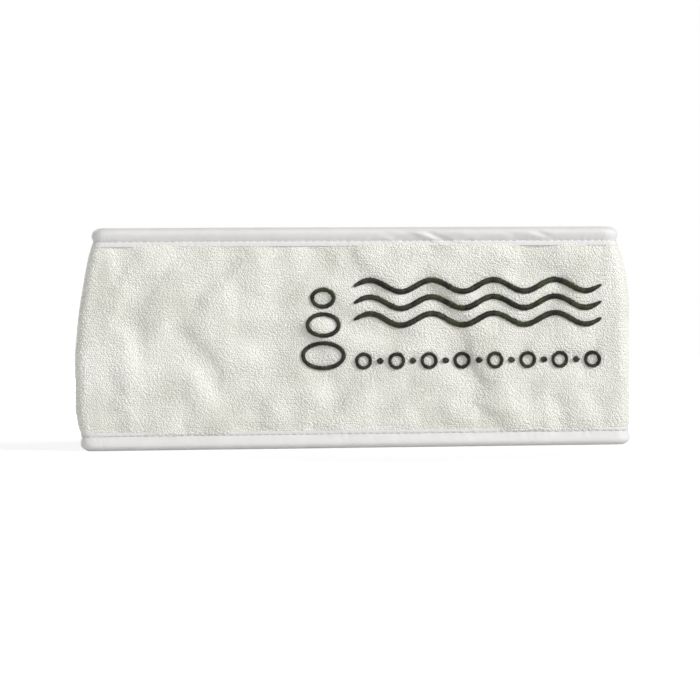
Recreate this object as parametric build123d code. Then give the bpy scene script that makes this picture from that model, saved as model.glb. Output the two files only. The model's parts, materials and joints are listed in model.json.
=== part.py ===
from build123d import *
import os
from math import pi, sin

# A terry spa headband, closed with hook and loop behind and pressed flat, standing on its lower edge.
# The front panel faces -Y. The strip turns back at the left and the right fold. The short left arm
# lies behind the panel, and the long right arm lies over it and ends in the tab that is peeled open.
# Origin: middle of the flat loop in X and Y, at the lower edge. +Z runs across the band, +X to the right.
# All sizes are in millimetres.

# Driving dimensions
flat_width = 252.0          # fold to fold
band_height = 98.5          # across the strip, over both bindings
terry_thick = 3.0
tape_thick = 0.7            # binding tape
upper_tape_width = 8.6
lower_tape_width = 7.7
end_tape_width = 8.0        # tape on the strip's two free ends
left_turn_radius = 3.2      # middle of the terry, round the left fold
right_turn_radius = 6.2     # middle of the terry, round the right fold, which holds the other arm
left_arm_end = -8.0         # free end of the inner arm
tab_root = -30.0            # line that the tab peels along
tab_end = -96.0             # free end of the strip's outer end
loop_patch_span = (-112.0, -18.0)
hook_patch_span = (-86.0, -42.0)
patch_height = 80.0
loop_patch_thick = 1.3
hook_patch_thick = 1.2
embroidery_raise = 0.8
backing_thick = 0.3
thread_width = 0.5
thread_raise = 0.25
stitch_inset = 2.0          # from the tape's or the patch's edge to its stitching
patch_stitch_raise = 0.15

# Clearances
tape_clearance = 0.05       # terry to tape
sewn_clearance = 0.02       # terry to a patch, a thread or the backing on it
split_clearance = 0.1       # each side of a line where the strip is divided into moving bodies
axis_clearance = 0.05       # fold line to the outermost tape

# Places that follow from these
tape_reach = terry_thick / 2 + tape_clearance + tape_thick
bound_thick = 2 * tape_reach
slot_thick = terry_thick + 2 * tape_clearance
edge_gap = tape_thick + tape_clearance
front_y = -right_turn_radius
left_arm_y = front_y + 2 * left_turn_radius
right_arm_y = front_y + 2 * right_turn_radius
left_turn_x = -flat_width / 2 + tape_reach + left_turn_radius
left_turn_y = front_y + left_turn_radius
right_turn_x = flat_width / 2 - tape_reach - right_turn_radius
right_turn_y = front_y + right_turn_radius
front_face_y = front_y - terry_thick / 2
lower_tape_top = lower_tape_width
upper_tape_bottom = band_height - upper_tape_width
middle_z = (lower_tape_top + upper_tape_bottom) / 2

# Embroidery on the right half of the front panel
stone_centre_x = -15.0
stone_sizes = [(20.0, 13.0), (16.0, 11.5), (11.5, 9.5)]      # width and height, from the lowest up
stone_gap = 1.5
stone_line = 1.9            # width of a stone's outline
stone_base_z = 34.5
ripple_span = (-1.0, 111.0)
ripple_heights = [57.0, 64.5, 72.0]
ripple_wave = 28.0
ripple_swing = 2.6
ripple_width = 2.6
ring_row_span = (3.0, 107.0)
ring_row_count = 15         # rings, with a dot between each two
ring_z = 38.5
ring_radius = 3.9
ring_width = 1.6
dot_radius = 1.4
backing_margin = 6.0


def slab(x_span, y_span, z_span):
    """A box between two x, two y and two z values, given in any order."""
    sizes = [abs(span[1] - span[0]) for span in (x_span, y_span, z_span)]
    middles = [(span[1] + span[0]) / 2 for span in (x_span, y_span, z_span)]
    return Pos(*middles) * Box(*sizes)


def straight(x_span, y_middle, thick):
    """Plan of a straight run of the strip."""
    length = x_span[1] - x_span[0]
    return Pos(sum(x_span) / 2, y_middle) * Rectangle(length, thick)


def quarter_turn(centre, radius, thick, side_x, side_y):
    """Plan of the half of a fold that belongs to one body. It stops short of the dividing line."""
    ring = Circle(radius + thick / 2) - Circle(radius - thick / 2)
    reach = 2 * (radius + thick)
    window = Pos(side_x * reach / 2, side_y * (reach / 2 + split_clearance)) * Rectangle(reach, reach)
    return Pos(*centre) * (ring & window)


def front_plan(thick):
    """The front panel with the near half of each fold."""
    left_half = quarter_turn((left_turn_x, left_turn_y), left_turn_radius, thick, -1, -1)
    right_half = quarter_turn((right_turn_x, right_turn_y), right_turn_radius, thick, 1, -1)
    return straight((left_turn_x, right_turn_x), front_y, thick) + left_half + right_half


def left_arm_plan(thick, end):
    """The inner arm with the far half of the left fold."""
    half = quarter_turn((left_turn_x, left_turn_y), left_turn_radius, thick, -1, 1)
    return straight((left_turn_x, end), left_arm_y, thick) + half


def right_arm_plan(thick):
    """The outer arm with the far half of the right fold, up to the tab."""
    half = quarter_turn((right_turn_x, right_turn_y), right_turn_radius, thick, 1, 1)
    return straight((tab_root + split_clearance, right_turn_x), right_arm_y, thick) + half


def tab_plan(thick, end):
    """The end of the outer arm that is peeled open."""
    return straight((end, tab_root - split_clearance), right_arm_y, thick)


def wall(plan, z_low, z_high):
    """A plan raised between two heights."""
    return Pos(0, 0, z_low) * extrude(plan, amount=z_high - z_low)


def terry(plan_of, *free_end):
    """The towelling of one body. It stops inside its bindings."""
    return wall(plan_of(terry_thick, *free_end), edge_gap, band_height - edge_gap)


def upper_binding(plan_of, *free_end):
    """A channel of tape over the terry's upper edge."""
    outside = wall(plan_of(bound_thick, *free_end), upper_tape_bottom, band_height)
    return outside - wall(plan_of(slot_thick, *free_end), upper_tape_bottom, band_height - tape_thick)


def lower_binding(plan_of, *free_end):
    """A channel of tape under the terry's lower edge."""
    outside = wall(plan_of(bound_thick, *free_end), 0, lower_tape_top)
    return outside - wall(plan_of(slot_thick, *free_end), tape_thick, lower_tape_top)


def end_binding(x_end, x_inner, y_middle):
    """A pocket of tape over a free end of the strip, from edge to edge."""
    towards_strip = 1 if x_inner > x_end else -1
    outside_y = (y_middle - tape_reach, y_middle + tape_reach)
    slot_y = (y_middle - slot_thick / 2, y_middle + slot_thick / 2)
    outside = slab((x_end, x_inner), outside_y, (0, band_height))
    slot_start = x_end + towards_strip * tape_thick
    return outside - slab((slot_start, x_inner), slot_y, (tape_thick, band_height - tape_thick))


def face_thread(x_span, y_middle, side, z_middle):
    """A row of stitching along a binding, on the strip's outer face."""
    root = y_middle + side * (tape_reach + sewn_clearance)
    z_span = (z_middle - thread_width / 2, z_middle + thread_width / 2)
    return slab(x_span, (root, root + side * thread_raise), z_span)


def end_thread(x_middle, y_middle, side):
    """A row of stitching up an end binding, between the upper and the lower row."""
    root = y_middle + side * (tape_reach + sewn_clearance)
    x_span = (x_middle - thread_width / 2, x_middle + thread_width / 2)
    z_span = (lower_tape_top - stitch_inset, upper_tape_bottom + stitch_inset)
    return slab(x_span, (root, root + side * thread_raise), z_span)


def patch(x_span, face_y, side, thick):
    """A rectangle of hook or loop tape on a terry face."""
    root = face_y + side * sewn_clearance
    z_span = (middle_z - patch_height / 2, middle_z + patch_height / 2)
    return slab(x_span, (root, root + side * thick), z_span)


def patch_stitching(x_span, face_y, side, thick):
    """A closed row of stitching round a patch."""
    root = face_y + side * (2 * sewn_clearance + thick)
    y_span = (root, root + side * patch_stitch_raise)
    outer_x = (x_span[0] + stitch_inset, x_span[1] - stitch_inset)
    inner_x = (outer_x[0] + thread_width, outer_x[1] - thread_width)
    outer_half = patch_height / 2 - stitch_inset
    inner_half = outer_half - thread_width
    outer = slab(outer_x, y_span, (middle_z - outer_half, middle_z + outer_half))
    return outer - slab(inner_x, y_span, (middle_z - inner_half, middle_z + inner_half))


def raise_thread(outline):
    """Satin stitch standing on the front panel's outer face, from an outline in X and Z."""
    face_plane = Plane.XZ.offset(sewn_clearance - front_face_y)
    return extrude(face_plane * outline, amount=embroidery_raise)


def stone_embroidery():
    """The outlines of three smooth stones, one on another."""
    stones = []
    base = stone_base_z
    for width, height in stone_sizes:
        hole = Ellipse(width / 2 - stone_line, height / 2 - stone_line)
        outline = Ellipse(width / 2, height / 2) - hole
        stones.append(raise_thread(Pos(stone_centre_x, base + height / 2) * outline))
        base += height + stone_gap
    return Compound(children=stones)


def ripple(height):
    """One water line: a band of even width that swings up and down."""
    count = round((ripple_span[1] - ripple_span[0]) / ripple_wave * 8)
    step = (ripple_span[1] - ripple_span[0]) / count
    places = [ripple_span[0] + index * step for index in range(count + 1)]
    middle = [height + ripple_swing * sin(2 * pi * (x - ripple_span[0]) / ripple_wave) for x in places]
    top = Spline(*[(x, z + ripple_width / 2) for x, z in zip(places, middle)])
    bottom = Spline(*[(x, z - ripple_width / 2) for x, z in zip(places, middle)])
    return raise_thread(make_face([top, Line(top @ 1, bottom @ 1), bottom, Line(bottom @ 0, top @ 0)]))


def ripple_embroidery():
    """Three water lines, one over another."""
    return Compound(children=[ripple(height) for height in ripple_heights])


def ring_embroidery():
    """A row of rings and dots, by turns, under the water lines."""
    step = (ring_row_span[1] - ring_row_span[0]) / (ring_row_count - 1)
    ring = Circle(ring_radius) - Circle(ring_radius - ring_width)
    marks = []
    for index in range(ring_row_count):
        mark = Circle(dot_radius) if index % 2 else ring
        marks.append(raise_thread(Pos(ring_row_span[0] + index * step, ring_z) * mark))
    return Compound(children=marks)


def embroidery_backing():
    """The stabiliser sheet behind the embroidery, inside the loop."""
    root = front_y + terry_thick / 2 + sewn_clearance
    left = stone_centre_x - stone_sizes[0][0] / 2 - backing_margin
    right = ripple_span[1] + backing_margin
    z_span = (ring_z - ring_radius - backing_margin, ripple_heights[-1] + ripple_swing + backing_margin)
    return slab((left, min(right, right_turn_x)), (root, root + backing_thick), z_span)


left_tape_end = left_arm_end - end_tape_width
tab_tape_end = tab_end + end_tape_width
upper_stitch_z = upper_tape_bottom + stitch_inset
lower_stitch_z = lower_tape_top - stitch_inset
front_run = (left_turn_x, right_turn_x)
left_run = (left_turn_x, left_tape_end - split_clearance)
right_run = (tab_root + split_clearance, right_turn_x)
tab_run = (tab_tape_end + split_clearance, tab_root - split_clearance)
left_face_y = left_arm_y + terry_thick / 2
tab_face_y = right_arm_y - terry_thick / 2

nodes = {
    # front panel
    "terry_front": terry(front_plan),
    "upper_binding_front": upper_binding(front_plan),
    "lower_binding_front": lower_binding(front_plan),
    "upper_seam_thread_front": face_thread(front_run, front_y, -1, upper_stitch_z),
    "lower_seam_thread_front": face_thread(front_run, front_y, -1, lower_stitch_z),
    "stone_embroidery": stone_embroidery(),
    "ripple_embroidery": ripple_embroidery(),
    "ring_embroidery": ring_embroidery(),
    "embroidery_backing": embroidery_backing(),
    # inner arm, behind the panel on the left
    "terry_left_arm": terry(left_arm_plan, left_arm_end - edge_gap),
    "upper_binding_left_arm": upper_binding(left_arm_plan, left_run[1]),
    "lower_binding_left_arm": lower_binding(left_arm_plan, left_run[1]),
    "upper_seam_thread_left_arm": face_thread(left_run, left_arm_y, 1, upper_stitch_z),
    "lower_seam_thread_left_arm": face_thread(left_run, left_arm_y, 1, lower_stitch_z),
    "inner_end_binding": end_binding(left_arm_end, left_tape_end, left_arm_y),
    "inner_end_seam_thread": end_thread(left_tape_end + stitch_inset, left_arm_y, 1),
    "loop_patch": patch(loop_patch_span, left_face_y, 1, loop_patch_thick),
    "loop_patch_stitching": patch_stitching(loop_patch_span, left_face_y, 1, loop_patch_thick),
    # outer arm
    "terry_right_arm": terry(right_arm_plan),
    "upper_binding_right_arm": upper_binding(right_arm_plan),
    "lower_binding_right_arm": lower_binding(right_arm_plan),
    "upper_seam_thread_right_arm": face_thread(right_run, right_arm_y, 1, upper_stitch_z),
    "lower_seam_thread_right_arm": face_thread(right_run, right_arm_y, 1, lower_stitch_z),
    # peel tab at the outer arm's end
    "terry_tab": terry(tab_plan, tab_end + edge_gap),
    "upper_binding_tab": upper_binding(tab_plan, tab_run[0]),
    "lower_binding_tab": lower_binding(tab_plan, tab_run[0]),
    "upper_seam_thread_tab": face_thread(tab_run, right_arm_y, 1, upper_stitch_z),
    "lower_seam_thread_tab": face_thread(tab_run, right_arm_y, 1, lower_stitch_z),
    "tab_end_binding": end_binding(tab_end, tab_tape_end, right_arm_y),
    "tab_end_seam_thread": end_thread(tab_tape_end - stitch_inset, right_arm_y, 1),
    "hook_patch": patch(hook_patch_span, tab_face_y, -1, hook_patch_thick),
    "hook_patch_stitching": patch_stitching(hook_patch_span, tab_face_y, -1, hook_patch_thick),
}

os.makedirs("parts", exist_ok=True)
for name, solid in nodes.items():
    export_step(solid, f"parts/{name}.step")

# The fold lines and the peel line, for the joints
left_fold_axis = (-flat_width / 2 - axis_clearance, left_turn_y)
right_fold_axis = (flat_width / 2 + axis_clearance, right_turn_y)
peel_axis = (tab_root, right_arm_y + tape_reach + sewn_clearance + thread_raise + axis_clearance)
print("left fold", left_fold_axis, "right fold", right_fold_axis, "peel", peel_axis)
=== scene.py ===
import json
import math
import bpy
import numpy as np
from mathutils import Matrix, Vector


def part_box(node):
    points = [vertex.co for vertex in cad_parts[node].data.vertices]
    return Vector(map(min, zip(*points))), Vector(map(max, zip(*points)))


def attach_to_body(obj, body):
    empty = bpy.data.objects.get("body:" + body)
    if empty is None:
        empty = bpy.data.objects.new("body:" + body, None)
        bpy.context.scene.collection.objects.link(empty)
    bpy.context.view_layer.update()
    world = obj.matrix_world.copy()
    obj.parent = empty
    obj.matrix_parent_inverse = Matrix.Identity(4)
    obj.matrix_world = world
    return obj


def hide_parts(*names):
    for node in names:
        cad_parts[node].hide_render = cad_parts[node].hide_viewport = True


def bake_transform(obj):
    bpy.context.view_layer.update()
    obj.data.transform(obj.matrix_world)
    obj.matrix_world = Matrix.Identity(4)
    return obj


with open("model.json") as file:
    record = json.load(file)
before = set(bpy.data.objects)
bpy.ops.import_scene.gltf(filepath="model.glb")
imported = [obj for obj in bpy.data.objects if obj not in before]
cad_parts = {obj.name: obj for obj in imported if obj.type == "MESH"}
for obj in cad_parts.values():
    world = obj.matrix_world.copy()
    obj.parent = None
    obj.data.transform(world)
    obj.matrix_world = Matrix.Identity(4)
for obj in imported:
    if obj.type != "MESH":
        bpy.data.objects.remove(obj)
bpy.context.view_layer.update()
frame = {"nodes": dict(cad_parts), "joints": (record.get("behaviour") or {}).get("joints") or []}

# A terry spa headband, closed behind and pressed flat. Everything sewn follows one strip, so most
# shapes are worked out in strip coordinates and then placed in space:
#   along   length along the strip, from the inner arm's free end to the tab's free end
#   out     height above the middle of the terry, positive on the side that shows when it is worn
#   up      height above the lower edge
# Lengths are in millimetres here and become metres where a mesh is made.
MM = 0.001
X, Y, Z = 0, 1, 2


# ---- sizes from the frame

def span(node, axis):
    """Lowest and highest value of a CAD node along an axis, in millimetres."""
    low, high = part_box(node)
    return low[axis] / MM, high[axis] / MM


def joint_place(name):
    """A joint's axis in plan, in millimetres."""
    joint = next(j for j in frame["joints"] if j["name"] == name)
    return joint["pos_m"][X] / MM, joint["pos_m"][Y] / MM


terry_half = (span("terry_tab", Y)[1] - span("terry_tab", Y)[0]) / 2
front_y = span("terry_front", Y)[0] + terry_half
inner_arm_y = span("terry_left_arm", Y)[1] - terry_half
outer_arm_y = span("terry_right_arm", Y)[1] - terry_half
band_height = span("tab_end_binding", Z)[1]
left_edge_x, right_edge_x = span("upper_binding_front", X)
inner_end_x = span("inner_end_binding", X)[1]
tab_end_x = span("tab_end_binding", X)[0]
left_fold = joint_place("left_fold")
right_fold = joint_place("right_fold")
peel_line = joint_place("tab_peel")
upper_tape = band_height - span("upper_binding_front", Z)[0]
lower_tape = span("lower_binding_front", Z)[1]
end_tape = span("inner_end_binding", X)[1] - span("inner_end_binding", X)[0]
loop_span = span("loop_patch", X)
loop_up = span("loop_patch", Z)
loop_raise = span("loop_patch", Y)[1] - inner_arm_y
hook_span = span("hook_patch", X)
hook_up = span("hook_patch", Z)
hook_raise = outer_arm_y - span("hook_patch", Y)[0]

# ---- the strip's course in plan

tape_swell = 2.35           # how far the tape's roll stands out from the middle of the terry
fold_reach = 15.0           # how far a fold's rounding reaches into the panel
left_turn_x = left_edge_x + fold_reach
right_turn_x = right_edge_x - fold_reach
left_half_gap = (inner_arm_y - front_y) / 2
right_half_gap = (outer_arm_y - front_y) / 2
turn_run = math.pi * fold_reach * 0.72     # strip length given to each fold
inner_run_end = inner_end_x - left_turn_x
left_turn_end = inner_run_end + turn_run
front_run_end = left_turn_end + right_turn_x - left_turn_x
right_turn_end = front_run_end + turn_run
strip_end = right_turn_end + right_turn_x - tab_end_x


def front_along(x):
    """Strip length of a place on the front panel."""
    return left_turn_end + x - left_turn_x


def inner_along(x):
    """Strip length of a place on the inner arm."""
    return inner_end_x - x


def outer_along(x):
    """Strip length of a place on the outer arm or the tab."""
    return right_turn_end + right_turn_x - x


def ramp(value, start, end):
    """0 before start and 1 after end, easing between them."""
    share = np.clip((np.asarray(value, float) - start) / (end - start), 0, 1)
    return share * share * (3 - 2 * share)


# How each fold draws in towards its upper and its lower end: by how much, over what share of the
# height, and how sharply. The left fold leans in, and the right one is straight but for its corner.
left_corners = ((9.0, 0.58, 1.5), (3.6, 0.2, 1.6))
right_corners = ((6.4, 0.32, 1.4), (1.2, 0.1, 1.5))


def inset(up, corners):
    """How far a fold lies inside its widest place."""
    total = 0
    for (amount, reach, power), from_end in zip(corners, (1 - up / band_height, up / band_height)):
        total = total + amount * np.clip((reach - from_end) / reach, 0, 1) ** power
    return total


def fold(share, reach, radius, out):
    """A fold's course while share goes from 0 to 1: straight on, round half a circle and straight back.

    It gives how far the strip is beyond the panel's end, and how far from the fold's middle."""
    straight = np.maximum(reach - radius, 0)
    length = 2 * straight + math.pi * radius
    run = np.clip(share, 0, 1) * length
    angle = np.clip((run - straight) / radius, 0, math.pi)
    beyond = np.minimum(np.minimum(run, length - run), straight) + (radius + out) * np.sin(angle)
    return beyond, (radius + out) * np.cos(angle)


def place(along, out, up):
    """Points in space, in millimetres, for points in strip coordinates."""
    along, out, up = np.broadcast_arrays(*(np.asarray(a, float) for a in (along, out, up)))
    left_reach = fold_reach - tape_swell - inset(up, left_corners)
    right_reach = fold_reach - tape_swell - inset(up, right_corners)
    left_beyond, left_side = fold((along - inner_run_end) / turn_run, left_reach, left_half_gap, out)
    right_beyond, right_side = fold((along - front_run_end) / turn_run, right_reach, right_half_gap, out)
    runs = [along < inner_run_end, along < left_turn_end, along < front_run_end, along < right_turn_end]
    x = np.select(runs, [
        inner_end_x - along,
        left_turn_x - left_beyond,
        left_turn_x + along - left_turn_end,
        right_turn_x + right_beyond,
    ], right_turn_x + right_turn_end - along)
    y = np.select(runs, [
        inner_arm_y + out,
        left_fold[1] + left_side,
        front_y - out,
        right_fold[1] - right_side,
    ], outer_arm_y + out)
    edge_sway = 0.35 * soft_noise(along, up * 0, 70, 50, 3) * ramp(up, 0, 20)
    return np.stack([x, y, up + edge_sway], -1)


# ---- noise and mesh helpers

noise_cells = 61            # the lumps repeat after so many


def soft_noise(a, b, a_size, b_size, seed):
    """Smooth lumps between -1 and 1 over a plane, of the given sizes. A seed always gives the same lumps."""
    cells = np.random.default_rng(seed).uniform(-1, 1, (noise_cells, noise_cells))
    a, b = np.broadcast_arrays(np.asarray(a, float) / a_size, np.asarray(b, float) / b_size)
    column, row = np.floor(a).astype(int), np.floor(b).astype(int)
    across, down = a - column, b - row
    across = across * across * (3 - 2 * across)
    down = down * down * (3 - 2 * down)
    here, beside, row, above = (cell % noise_cells for cell in (column, column + 1, row, row + 1))
    near = cells[here, row] * (1 - across) + cells[beside, row] * across
    far = cells[here, above] * (1 - across) + cells[beside, above] * across
    return near * (1 - down) + far * down


class Shape:
    """Points and faces gathered in strip coordinates, to become one mesh."""

    def __init__(self):
        self.points = []
        self.shades = []
        self.faces = []
        self.count = 0

    def add(self, points, faces, shade=0.0):
        """Adds (N, 3) strip points and a list of index arrays. shade is for the material, point by point: the
        terry paints shade at its roots from it, and the satin stitches a painted highlight.
        """
        points = np.asarray(points, float).reshape(-1, 3)
        self.points.append(points)
        self.shades.append(np.broadcast_to(shade, len(points)))
        self.faces += [np.asarray(face, int) + self.count for face in faces]
        self.count += len(points)

    def piece(self, name, material, mapping=place):
        """The mesh object, with strip coordinates as its UV map."""
        strip = np.concatenate(self.points)
        mesh = bpy.data.meshes.new(name)
        mesh.vertices.add(len(strip))
        mesh.vertices.foreach_set("co", (mapping(*strip.T) * MM).astype(np.float32).ravel())
        corners = np.concatenate([face.ravel() for face in self.faces]).astype(np.int32)
        sizes = np.concatenate([np.full(len(face), face.shape[1]) for face in self.faces]).astype(np.int32)
        mesh.loops.add(len(corners))
        mesh.loops.foreach_set("vertex_index", corners)
        mesh.polygons.add(len(sizes))
        mesh.polygons.foreach_set("loop_start", (np.cumsum(sizes) - sizes).astype(np.int32))
        mesh.polygons.foreach_set("use_smooth", np.ones(len(sizes), bool))
        mesh.update(calc_edges=True)
        mesh.validate()
        uv = mesh.uv_layers.new(name="strip")
        uv.data.foreach_set("uv", strip[corners][:, [0, 2]].astype(np.float32).ravel())
        # The shade attribute carries the painted shade of the terry's roots and the painted highlights of the
        # satin stitches.
        shade = mesh.attributes.new("shade", "FLOAT", "POINT")
        shade.data.foreach_set("value", np.concatenate(self.shades).astype(np.float32))
        mesh.materials.append(material)
        made = bpy.data.objects.new(name, mesh)
        bpy.context.scene.collection.objects.link(made)
        return made


def sweep(shape, rows, shade=0.0):
    """A closed tube through (stations, profile, 3) points. Its end faces have their own points."""
    stations, profile = rows.shape[:2]
    index = np.arange(stations * profile).reshape(stations, profile)
    turned = np.roll(index, -1, axis=1)
    sides = np.stack([index[:-1], turned[:-1], turned[1:], index[1:]], -1).reshape(-1, 4)
    rung = np.arange(profile // 2 - 1)
    ladder = np.stack([rung, profile - 1 - rung, profile - 2 - rung, rung + 1], -1)
    shape.add(rows, [sides], shade)
    shape.add(rows[0], [ladder], shade)
    shape.add(rows[-1], [ladder[:, ::-1]], shade)


def cords(shape, paths, radii, sides=5, shade=0.5):
    """Round cords along (cords, stations, 3) strip points. radii has one value for each station."""
    paths = np.asarray(paths, float)
    count, stations = paths.shape[:2]
    run = paths[:, -1] - paths[:, 0]
    length = np.hypot(run[:, 0], run[:, 2])[:, None]
    side = np.stack([-run[:, 2], np.zeros(count), run[:, 0]], -1) / np.maximum(length, 1e-6)
    turn = np.arange(sides) * 2 * math.pi / sides
    radii = np.broadcast_to(radii, (count, stations))[:, :, None, None]
    ring = side[:, None, None] * np.cos(turn)[:, None] + np.array([0, 1, 0]) * np.sin(turn)[:, None]
    points = paths[:, :, None] + ring * radii
    index = np.arange(count * stations * sides).reshape(count, stations, sides)
    turned = np.roll(index, -1, axis=2)
    walls = np.stack([index[:, :-1], index[:, 1:], turned[:, 1:], turned[:, :-1]], -1).reshape(-1, 4)
    shades = np.broadcast_to(np.reshape(shade, (-1, 1)), (count, stations * sides)).ravel()
    shape.add(points, [walls, index[:, 0], index[:, -1, ::-1]], shades)


# ---- how the terry lies

pile_height = 0.38
outer_spacing, outer_sides = 1.05, 4    # of the pile's nubs
inner_spacing, inner_sides = 1.9, 3
outer_face = 1.35           # ground of the outer pile, from the middle of the terry
inner_face = 0.6            # ground of the inner pile


def on_flats(along):
    """1 on the flat runs of the strip, falling to 0 at its ends and its two folds."""
    share = np.ones(np.shape(along))
    folds = ((inner_run_end + 5, left_turn_end - 5), (front_run_end + 5, right_turn_end - 5))
    for start, end in ((-20, 0), *folds, (strip_end, strip_end + 20)):
        share = share * (1 - ramp(along, start - 14, start) * (1 - ramp(along, end, end + 14)))
    return share


cloth_cell = 3.0            # spacing of the simulated sheet's points
cloth_scale = 0.01          # the sheet is simulated at ten times its size, where the solver is steady
cloth_room = 0.016          # how much longer than its sewn edges the fabric wants to be
cloth_hold = 0.25           # how firmly the padding behind holds the sheet, against 1 at its sewn edges
cloth_frames = 26
cloth_low = lower_tape - 0.5
cloth_high = band_height - upper_tape + 0.5


def slanted_waves(along, up):
    """Soft lumps, mostly upright and a little slanted."""
    waves = 0.75 * soft_noise(along + 0.35 * up, up, 17, 46, 11)
    return waves + 0.45 * soft_noise(along - 0.5 * up, up, 12, 24, 12)


def settle_terry():
    """Heights over the strip of a slightly roomy sheet that has settled between its sewn edges."""
    stations = np.linspace(0, strip_end, round(strip_end / cloth_cell) + 1)
    heights = np.linspace(cloth_low, cloth_high, round((cloth_high - cloth_low) / cloth_cell) + 1)
    along, up = np.meshgrid(stations, heights, indexing="ij")
    start = slanted_waves(along, up)
    index = np.arange(start.size).reshape(start.shape)
    faces = np.stack([index[:-1, :-1], index[1:, :-1], index[1:, 1:], index[:-1, 1:]], -1).reshape(-1, 4)
    points = np.stack([along, 0.5 * start, up], -1).reshape(-1, 3) * cloth_scale
    mesh = bpy.data.meshes.new("settling_sheet")
    mesh.from_pydata(points.tolist(), [], faces.tolist())
    sheet = bpy.data.objects.new("settling_sheet", mesh)
    bpy.context.scene.collection.objects.link(sheet)
    held = (on_flats(along) < 0.5) | (up < cloth_low + 1) | (up > cloth_high - 1)
    group = sheet.vertex_groups.new(name="held")
    group.add(index.ravel().tolist(), cloth_hold, "REPLACE")
    group.add(index[held].tolist(), 1.0, "REPLACE")
    cloth = sheet.modifiers.new("Cloth", "CLOTH")
    settings = cloth.settings
    settings.quality = 5
    settings.mass = 0.4
    settings.air_damping = 4
    settings.tension_stiffness = settings.compression_stiffness = 20
    settings.shear_stiffness = 8
    settings.bending_stiffness = 4.0
    settings.effector_weights.gravity = 0
    settings.vertex_group_mass = "held"
    settings.shrink_min = -cloth_room
    cloth.collision_settings.use_collision = False
    for number in range(1, cloth_frames + 1):
        bpy.context.scene.frame_set(number)
    settled = sheet.evaluated_get(bpy.context.evaluated_depsgraph_get()).to_mesh()
    points = np.empty(len(settled.vertices) * 3, np.float32)
    settled.vertices.foreach_get("co", points)
    bpy.context.scene.frame_set(1)
    bpy.data.objects.remove(sheet)
    bpy.data.meshes.remove(mesh)
    return points.reshape(*start.shape, 3)[..., 1].astype(float) / cloth_scale + 0.4 * start


cloth_heights = settle_terry()
billow_limit = 1.5


def billow(along, up):
    """How far the settled terry stands out from its middle place."""
    columns, rows = cloth_heights.shape
    column = np.clip(np.asarray(along) / strip_end, 0, 0.9999) * (columns - 1)
    row = np.clip((np.asarray(up) - cloth_low) / (cloth_high - cloth_low), 0, 0.9999) * (rows - 1)
    c, r = column.astype(int), row.astype(int)
    across, rise = column - c, row - r
    near = cloth_heights[c, r] * (1 - across) + cloth_heights[c + 1, r] * across
    far = cloth_heights[c, r + 1] * (1 - across) + cloth_heights[c + 1, r + 1] * across
    height = near * (1 - rise) + far * rise
    return billow_limit * np.tanh(height / billow_limit) * on_flats(along)


def seam_dip(up, depth, reach):
    """The terry is drawn in along both seams."""
    low = 1 - ramp(up, lower_tape - 1, lower_tape + reach)
    high = ramp(up, band_height - upper_tape - reach, band_height - upper_tape + 1)
    return -depth * np.maximum(low, high)


def in_patch(along, up, margin=1.0):
    """1 under the loop patch, where the pile is pressed flat, falling to 0 over the margin round it."""
    start, end = inner_along(loop_span[1]), inner_along(loop_span[0])
    low, high = loop_up
    beside = ramp(along, start - margin, start) * (1 - ramp(along, end, end + margin))
    return beside * ramp(up, low - margin, low) * (1 - ramp(up, high, high + margin))


def end_dip(along):
    """The terry is drawn in at the strip's two bound ends as well."""
    near = np.minimum(along, strip_end - along)
    return -0.55 * (1 - ramp(near, end_tape - 1, end_tape + 5))


def outer_ground(along, up):
    """Height of the outer pile's ground above the middle of the terry."""
    small = 0.12 * soft_noise(along, up, 5, 6, 13)
    free = 1 - in_patch(along, up, 9.0)
    return outer_face + seam_dip(up, 0.55, 5) + end_dip(along) + (billow(along, up) + small) * free


def inner_ground(along, up):
    """The same for the inner pile, which faces the other way and so lies below 0."""
    return -inner_face - seam_dip(up, 0.2, 5) + 0.1 * soft_noise(along, up, 9, 12, 14)


terry_tuck = 0.8            # how far the terry goes in under its tapes
sheet_step = 1.5
sheet_rows = 62


def terry_sheet(shape, start, end):
    """The ground fabric of one stretch of the strip, with thickness, tucked into its bindings."""
    stations = np.linspace(start, end, max(2, round((end - start) / sheet_step)))
    outer_up = np.linspace(lower_tape - terry_tuck, band_height - upper_tape + terry_tuck, sheet_rows)
    along, up = np.meshgrid(stations, outer_up, indexing="ij")
    outer = np.stack([along, outer_ground(along, up), up], -1)
    inner = np.stack([along, inner_ground(along, up), up], -1)[:, ::-1]
    # The sheet takes shade 0, so it gets the pile's darkest root colour: painted shade under the pile.
    sweep(shape, np.concatenate([outer, inner], 1))


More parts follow.
